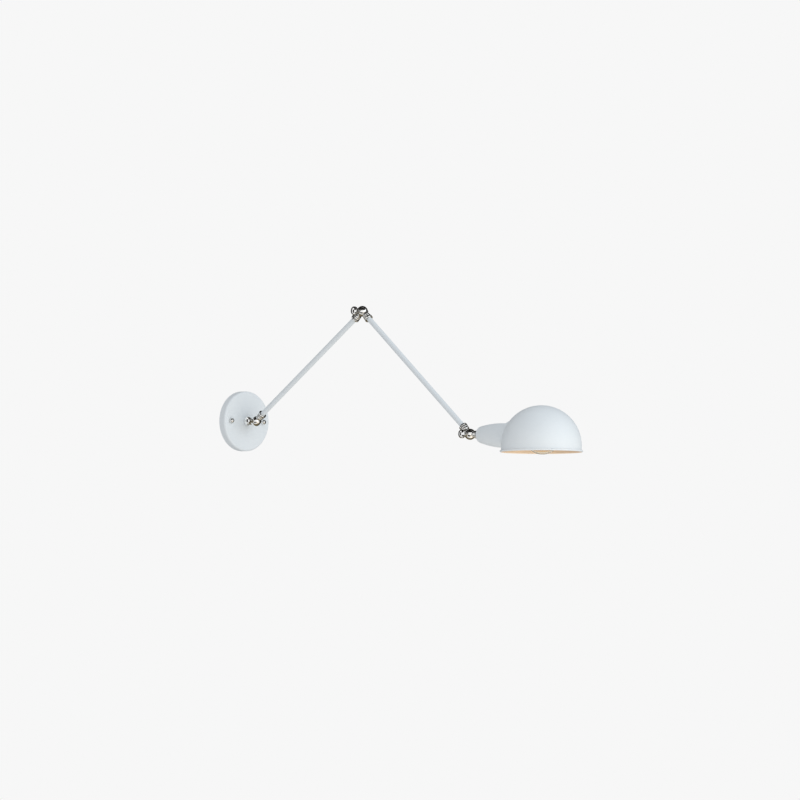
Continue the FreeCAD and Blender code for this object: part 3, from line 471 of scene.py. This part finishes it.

# %% [markdown]
# ## Every solid gets its finish
#
# The record names a slot for each solid, such as paint, chrome or brass. One table from slot to
# material covers them all; the shade has a paint of its own because of the painted warm reflection
# on its inner side.

# %% Finishes by slot
FINISHES = {
    "white_paint": white.material,
    "chrome": chrome.material,
    "zinc_steel": zinc,
    "friction_fibre": fibre,
    "terminal_nylon": nylon,
    "brass": brass,
    "cable_sheath": sheath,
    "lampholder_plastic": ivory,
    "bulb_glass": glass.material,
    "bulb_cap_metal": cap_metal,
    "bulb_insulator": black_glass,
    "filament": wire,
}
SPECIAL = {"shade": enamel.material}
slots = {subpart["node"]: subpart["material_slot"] for subpart in frame["record"]["subparts"]}
for name, slot in slots.items():
    mesh = nodes[name].data
    mesh.materials.clear()
    mesh.materials.append(SPECIAL.get(name, FINISHES[slot]))
print("finished solids:", len(slots))

# %% [markdown]
# ## From a grid of points to a piece
#
# Every added form here is a row of closed outlines: a thread is an outline turned around an axis, a
# wound wire is a small circle carried along a path. So one helper is enough. It takes the points as a
# grid, joins each outline to the next, and either joins the last one to the first or closes both ends
# with a cap. Blender then turns all faces outwards. The piece rides on the body of the solid that it
# belongs to.

# %% Closed grids
bodies = {
    node: body
    for body, members in frame["record"]["behaviour"]["bodies"].items()
    for node in members
}


def closed_piece(name, outlines, owner, ring=True):
    """A smooth closed mesh from outlines[u, v], with the finish and body of the solid that owns it.

    Point v of outline u is joined to its neighbours in v, all the way around, and to the same point
    of the next outline. The last outline is joined to the first if they form a ring.
    """
    rows, columns = outlines.shape[:2]
    index = np.arange(rows * columns).reshape(rows, columns)
    ahead = np.roll(index, -1, axis=0)
    corners = [index, ahead, np.roll(ahead, -1, axis=1), np.roll(index, -1, axis=1)]
    quads = np.stack(corners, axis=-1)
    faces = quads.reshape(-1, 4).tolist()
    if not ring:
        faces = quads[:-1].reshape(-1, 4).tolist() + [index[0].tolist(), index[-1].tolist()]
    mesh = bpy.data.meshes.new(name)
    mesh.from_pydata(outlines.reshape(-1, 3).tolist(), [], faces)
    shell = bmesh.new()
    shell.from_mesh(mesh)
    bmesh.ops.recalc_face_normals(shell, faces=shell.faces)
    shell.to_mesh(mesh)
    shell.free()
    mesh.polygons.foreach_set("use_smooth", np.ones(len(faces), bool))
    mesh.materials.append(FINISHES[slots[owner]])
    piece = bpy.data.objects.new(name, mesh)
    bpy.context.scene.collection.objects.link(piece)
    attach(piece, bodies[owner])
    print(name, "has", len(faces), "faces")
    return piece


print("bodies:", sorted(set(bodies.values())))

# %% [markdown]
# ## Axes of the plate and of the head
#
# Threads need the axis of the solid that they replace. The plate's nipple lies on the y axis. The
# head's pieces all lie on one line from the head's pivot, which drops by 2.1 degrees. How far each
# solid reaches along its axis, and how wide it is, is measured on the solid itself, so that these
# sizes are written down only once, in the drawing.

# %% Measure solids along an axis
HEAD_DROP = math.radians(2.1)
head_joint = next(joint for joint in frame["joints"] if joint["name"] == "head_tilt")
head_way = np.array([0.0, -math.cos(HEAD_DROP), -math.sin(HEAD_DROP)])
HEAD_LINE = (np.array(head_joint["pos_m"]), head_way)
PLATE_LINE = (np.zeros(3), np.array([0.0, -1.0, 0.0]))


def measure(name, line):
    """First and last place of a solid along a line, and its widest and narrowest radius around it."""
    start, axis = line
    vertices = nodes[name].data.vertices
    points = np.empty(len(vertices) * 3, np.float32)
    vertices.foreach_get("co", points)
    points = points.reshape(-1, 3).astype(float) - start
    places = points @ axis
    reach = np.linalg.norm(points - np.outer(places, axis), axis=1)
    return places.min(), places.max(), reach.max(), reach.min()


print("bulb cap in mm:", in_mm(measure("bulb_cap", HEAD_LINE)))

# %% [markdown]
# ## Screw threads
#
# A thread is a ridge that climbs by one pitch in each turn. On a turned outline it is simply a wave in
# the radius whose phase depends on both the turn and the height, so no sweeping is needed. The bulb's
# cap is thin sheet rolled between dies: its thread is round, and shows inside as well. The nipples are
# steel tubes with a cut thread of one millimetre.

# %% A turned outline with a thread
TURN_STEPS = 96
SIDEWAYS = np.array([1.0, 0.0, 0.0])


def threaded(line, places, radii, share, pitch, depth):
    """Points of a threaded turning.

    At turn u, outline point v lies at places[v] along the line and at a distance of
    radii[v] - depth * share[v] * (1 - cos(u - 2 pi places[v] / pitch)) / 2 from it.
    """
    start, axis = line
    lift = np.cross(axis, SIDEWAYS)
    turn = np.linspace(0, 2 * np.pi, TURN_STEPS, endpoint=False)[:, None]
    wave = (1 - np.cos(turn - 2 * np.pi * places / pitch)) / 2
    reach = (radii - depth * share * wave)[..., None]
    spoke = np.cos(turn)[..., None] * SIDEWAYS + np.sin(turn)[..., None] * lift
    return start + places[:, None] * axis + reach * spoke


print("threads have", TURN_STEPS, "steps in a turn")

# %% Rolled thread of the bulb's cap
CAP_PITCH, CAP_THREAD, CAP_SHEET = 3.62 * MM, 0.42 * MM, 0.3 * MM
CAP_CONE, CAP_COLLAR, CAP_FADE = 2.4 * MM, 6 * MM, 1.5 * MM
CAP_STEPS = 90

first, last, widest, narrowest = measure("bulb_cap", HEAD_LINE)
barrel = np.linspace(first + CAP_CONE, last, CAP_STEPS)
fade_in = np.clip((barrel - barrel[0]) / CAP_FADE, 0, 1)
fade_out = np.clip((last - CAP_COLLAR - barrel) / CAP_FADE, 0, 1)
climb = fade_in * fade_out
skin = np.full(barrel.size, widest)
places = np.concatenate([[first, first], barrel, barrel[::-1]])
radii = np.concatenate([[narrowest, narrowest + CAP_SHEET], skin, skin - CAP_SHEET])
share = np.concatenate([[0, 0], climb, climb[::-1]])
outlines = threaded(HEAD_LINE, places, radii, share, CAP_PITCH, CAP_THREAD)
screw_cap = closed_piece("bulb_screw_cap", outlines, "bulb_cap")
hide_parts("bulb_cap")

# %% Cut threads of the two nipples
NIPPLE_PITCH, NIPPLE_THREAD = 1.0 * MM, 0.45 * MM
STEPS_PER_PITCH = 12

for node, line in (("centre_nipple", PLATE_LINE), ("cup_nipple", HEAD_LINE)):
    first, last, widest, narrowest = measure(node, line)
    shank = np.linspace(first, last, int((last - first) / NIPPLE_PITCH * STEPS_PER_PITCH))
    bore = np.array([last, first])
    places = np.concatenate([shank, bore])
    radii = np.concatenate([np.full(shank.size, widest), np.full(bore.size, narrowest)])
    share = np.concatenate([np.ones(shank.size), np.zeros(bore.size)])
    outlines = threaded(line, places, radii, share, NIPPLE_PITCH, NIPPLE_THREAD)
    nipple = closed_piece(f"{node}_thread", outlines, node)
    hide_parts(node)

# %% [markdown]
# ## Filament
#
# The filament is a hair-thin wire wound into a coil, and the coil is bent to a half loop between its
# leads. Modelled straight and then bent it would need two modifiers. As one formula it is a small
# circle around a path, and the path is itself a circle that travels along the half loop.

# %% Coiled filament
COIL_TURNS, COIL_STEPS, WIRE_SIDES = 40, 18, 8
WIRE_RADIUS, COIL_RADIUS = 0.17 * MM, 0.7 * MM


def coiled_loop(line, level, loop, coil):
    """Outlines of a wire wound around a half circle.

    The half circle has radius loop and its middle lies level metres along the line. At angle s on
    it, the wire's middle is turned by 2 * COIL_TURNS * s around it at distance coil. Each outline is
    a circle across the wire.
    """
    start, axis = line
    sweep = np.linspace(0, np.pi, COIL_TURNS * COIL_STEPS)[:, None]
    outward = np.cos(sweep) * SIDEWAYS + np.sin(sweep) * axis
    winding = 2 * COIL_TURNS * sweep
    around = np.cos(winding) * outward + np.sin(winding) * np.cross(axis, SIDEWAYS)
    path = start + level * axis + loop * outward + coil * around
    run = np.gradient(path, axis=0)
    first = np.cross(run, around)
    first /= np.linalg.norm(first, axis=1, keepdims=True)
    second = np.cross(run, first)
    second /= np.linalg.norm(second, axis=1, keepdims=True)
    spin = np.linspace(0, 2 * np.pi, WIRE_SIDES, endpoint=False)[None, :, None]
    circle = np.cos(spin) * first[:, None] + np.sin(spin) * second[:, None]
    return path[:, None] + WIRE_RADIUS * circle


level, crown = measure("filament", HEAD_LINE)[:2]
outlines = coiled_loop(HEAD_LINE, level, crown - level - COIL_RADIUS, COIL_RADIUS - WIRE_RADIUS)
coil = closed_piece("filament_coil", outlines, "filament", ring=False)
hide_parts("filament")

# %% [markdown]
# ## Weld at the shade's neck
#
# The neck is a pressed ring welded to the dome and smoothed before painting, so the corner between them
# is filled by a small hollow round. It follows the line where the ring's cylinder meets the dome. That
# line comes from two equations: a sphere above the dome's middle and an upright cylinder below it.
# Carrying a small hollow outline along it is simpler than beveling two separate solids.

# %% Hollow round between neck and dome
WELD_LEG, WELD_DEPTH = 1.7 * MM, 0.4 * MM
WELD_STEPS, HOLLOW_STEPS = 160, 7
HOLLOW = 0.2
FLAT = np.array([1.0, 1.0, 0.0])


def strike(begin, heading, keep):
    """Distance along the heading from each begin to the dome's radius, on the axes that are kept.

    It is the smaller root t of |keep * (begin + t * heading)| = DOME_RADIUS.
    """
    square = (heading * heading * keep).sum()
    half = (begin * heading * keep).sum(axis=1)
    rest = (begin * begin * keep).sum(axis=1) - DOME_RADIUS ** 2
    return ((-half - np.sqrt(half * half - square * rest)) / square)[:, None]


def weld_round(line, neck):
    """Outlines of the weld, one for each angle around the neck.

    A line on the neck at that angle runs along the axis until it is DOME_RADIUS away from the dome's
    middle, with heights below the middle counted as zero. From that corner one leg runs back along
    the neck and one runs outward on the dome, and a curve bends between their ends towards the
    corner. A point under the paint closes it.
    """
    start, axis = line
    tip = np.array(Matrix.Rotation(-DOME_TILT, 3, "X"))
    angle = np.linspace(0, 2 * np.pi, WELD_STEPS, endpoint=False)[:, None]
    spoke = np.cos(angle) * SIDEWAYS + np.sin(angle) * np.cross(axis, SIDEWAYS)
    begin = (start + neck * spoke - np.array(DOME_MIDDLE)) @ tip.T
    heading = tip @ axis
    to_sphere = strike(begin, heading, np.ones(3))
    to_cylinder = strike(begin, heading, FLAT)
    low = (begin + to_sphere * heading)[:, 2:] < 0
    corner = begin + np.where(low, to_cylinder, to_sphere) * heading
    normal = np.where(low, corner * FLAT, corner) / DOME_RADIUS
    spoke = spoke @ tip.T
    outward = spoke - (spoke * normal).sum(axis=1, keepdims=True) * normal
    outward /= np.linalg.norm(outward, axis=1, keepdims=True)
    on_neck = corner - WELD_LEG * heading
    on_dome = corner + WELD_LEG * outward
    pull = corner + HOLLOW * (on_neck - corner) + HOLLOW * (on_dome - corner)
    share = np.linspace(0, 1, HOLLOW_STEPS)[None, :, None]
    left = 1 - share
    curve = (
        left ** 2 * on_neck[:, None]
        + 2 * share * left * pull[:, None]
        + share ** 2 * on_dome[:, None]
    )
    under = corner - WELD_DEPTH * (spoke + normal)
    return np.concatenate([curve, under[:, None]], axis=1) @ tip + np.array(DOME_MIDDLE)


neck_radius = measure("shade_neck", HEAD_LINE)[2]
closed_piece("neck_weld", weld_round(HEAD_LINE, neck_radius), "shade_neck")

# %% [markdown]
# ## Floor
#
# A plain pale floor lies a metre below the plate. A large sheet would show its far edge as a line, so
# its material turns clear with distance, and it is also clear from below.

# %% Floor
FLOOR_LEVEL, FLOOR_REACH = -1.0, 9.0
FLOOR_WHITE, FLOOR_ROUGH = (0.86, 0.86, 0.86, 1), 0.9
FADE_START, FADE_END = 0.9, 2.6
LAMP_MIDDLE = Vector((0, -0.45, 0.07))
SQUARE = np.array([[-1, -1, 0], [1, -1, 0], [1, 1, 0], [-1, 1, 0]])


def flat_square(name, corners, material):
    """A staged four cornered sheet."""
    mesh = bpy.data.meshes.new(name)
    mesh.from_pydata(corners.tolist(), [], [(0, 1, 2, 3)])
    mesh.materials.append(material)
    item = bpy.data.objects.new(name, mesh)
    bpy.context.scene.collection.objects.link(item)
    item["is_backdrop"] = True
    return item


chalk = Paint("pale_floor")
chalk.shade(Base_Color=FLOOR_WHITE, Roughness=FLOOR_ROUGH)
from_plate = chalk.add(
    "ShaderNodeVectorMath", {"operation": "LENGTH"}, {"Vector": chalk.place}, "Value"
)
faded = chalk.add(
    "ShaderNodeMapRange",
    {"interpolation_type": "SMOOTHSTEP"},
    {"Value": from_plate, "From Min": FADE_START, "From Max": FADE_END},
)
underside = chalk.add("ShaderNodeNewGeometry", output="Backfacing")
clear = chalk.add("ShaderNodeBsdfTransparent")
solid = Signal(chalk, chalk.shader.outputs[0])
mixed = chalk.add("ShaderNodeMixShader", (), {0: faded.or_more(underside), 1: solid, 2: clear})
chalk.feed(chalk.tree.nodes["Material Output"].inputs["Surface"], mixed)
floor_centre = np.array([0, LAMP_MIDDLE.y, FLOOR_LEVEL])
flat_square("floor", SQUARE * FLOOR_REACH + floor_centre, chalk.material)
print("floor at", FLOOR_LEVEL)

# %% [markdown]
# ## Soft light
#
# Soft light from large panels shows matte paint best, because its shadows have no hard edge: one big
# panel to the right of the camera, a weak one in front and a weak warm one from below. The front panel
# would show as a square in the middle of every chrome ball, so mirrors do not see it.

# %% Soft panels
UPRIGHT = Vector((0, 0, 1))


def panel(name, place, size, power, colour, mirrored=True):
    """A square soft light that faces the middle of the lamp, seen in mirrors or not at all."""
    light = bpy.data.lights.new(name, "AREA")
    light.size = size
    light.energy = power
    light.color = colour
    item = bpy.data.objects.new(name, light)
    item.location = LAMP_MIDDLE + place
    item.rotation_euler = (-place).to_track_quat("-Z", "Y").to_euler()
    item.visible_camera = False
    item.visible_glossy = mirrored
    bpy.context.scene.collection.objects.link(item)


panel(
    "key_panel", right * 2.0 + back * 1.5 + UPRIGHT * 1.3,
    size=2.6, power=26, colour=(0.93, 0.98, 1.0),
)
panel(
    "front_panel", back * 2.6 - right * 0.4 - UPRIGHT * 0.2,
    size=1.8, power=2.6, colour=(0.93, 0.97, 1.0), mirrored=False,
)
panel(
    "low_panel", right * 0.5 + back * 0.6 - UPRIGHT * 0.9,
    size=2.0, power=7.5, colour=(1.0, 0.87, 0.68),
)
print("panels:", len(bpy.data.lights))

# %% [markdown]
# ## Dark cards
#
# Chrome has no colour of its own and shows whatever is around it. In an empty pale world it would be
# pale all over, so dark cards hang around the lamp and give it the contrast of a real room. Only
# mirrors see them: they take no light from the paint and throw no shadow.

# %% Dark cards
charcoal, umber = Paint("charcoal_card"), Paint("umber_card")
charcoal.shade(Base_Color=(0.015, 0.013, 0.011, 1), Roughness=1.0)
umber.shade(Base_Color=(0.20, 0.16, 0.09, 1), Roughness=1.0)


def card(name, place, width, height, paint):
    """A card that faces the lamp and shows only in mirrors."""
    turn = np.array((-place).to_track_quat("Z", "Y").to_matrix())
    sides = np.array([width / 2, height / 2, 0])
    corners = SQUARE * sides @ turn.T + np.array(LAMP_MIDDLE + place)
    item = flat_square(name, corners, paint.material)
    for ray in ("camera", "diffuse", "shadow", "transmission"):
        setattr(item, f"visible_{ray}", False)


card("back_card", back * -0.8, width=5.0, height=3.0, paint=charcoal)
card("high_back_card", up * 1.1 - back * 0.7, width=3.6, height=1.6, paint=charcoal)
card("low_card", up * -0.9 - back * 0.3, width=3.0, height=1.6, paint=umber)
card("high_left_card", right * -0.8 + up * 0.7 + back * 0.7, width=0.7, height=0.7, paint=charcoal)
card("left_card", right * -1.5 + back * 0.3, width=0.8, height=1.2, paint=charcoal)
card("right_card", right * 1.7, width=0.9, height=1.8, paint=charcoal)
card("canopy_card", up * 1.0 + back * 0.55, width=3.0, height=1.25, paint=charcoal)
card("low_front_card", up * -0.75 + back * 1.1, width=3.0, height=0.75, paint=charcoal)

# %% [markdown]
# ## Pale world
#
# The world does two jobs. The camera, mirrors and glass see it as pale paper. Everything else gets a
# dimmer, even light from it, because paper as bright as the picture's background would wash out the
# soft shading of the white paint. The Light Path node tells the two apart.

# %% Pale world
PAPER_WHITE = (0.93, 0.93, 0.93, 1)
AMBIENT, AMBIENT_COLOUR = 0.66, (1.0, 0.99, 0.97, 1)
world = bpy.data.worlds.new("pale_world")
world.use_nodes = True
bpy.context.scene.world = world
sky = Board(world.node_tree)
ambient = sky.add("ShaderNodeBackground", (), {"Color": AMBIENT_COLOUR, "Strength": AMBIENT})
paper = sky.add("ShaderNodeBackground", (), {"Color": PAPER_WHITE})
camera_ray, mirror_ray, glass_ray = (
    sky.add("ShaderNodeLightPath", output=kind)
    for kind in ("Is Camera Ray", "Is Glossy Ray", "Is Transmission Ray")
)
seen = camera_ray.or_more(mirror_ray).or_more(glass_ray)
sky.feed(
    world.node_tree.nodes["World Output"].inputs["Surface"],
    sky.add("ShaderNodeMixShader", (), {0: seen, 1: ambient, 2: paper}),
)
bpy.context.scene.view_settings.view_transform = "Standard"
print("world paper", PAPER_WHITE[0], "ambient", AMBIENT)

# %% [markdown]
# ## Sizes
#
# The box of everything shown is printed, to set beside the box of the solids. The
# finished look must not be larger than the solids.

# %% Print the sizes
shown_box = [list(corner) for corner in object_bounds()]
print("shown box in mm:", [in_mm(corner) for corner in shown_box])
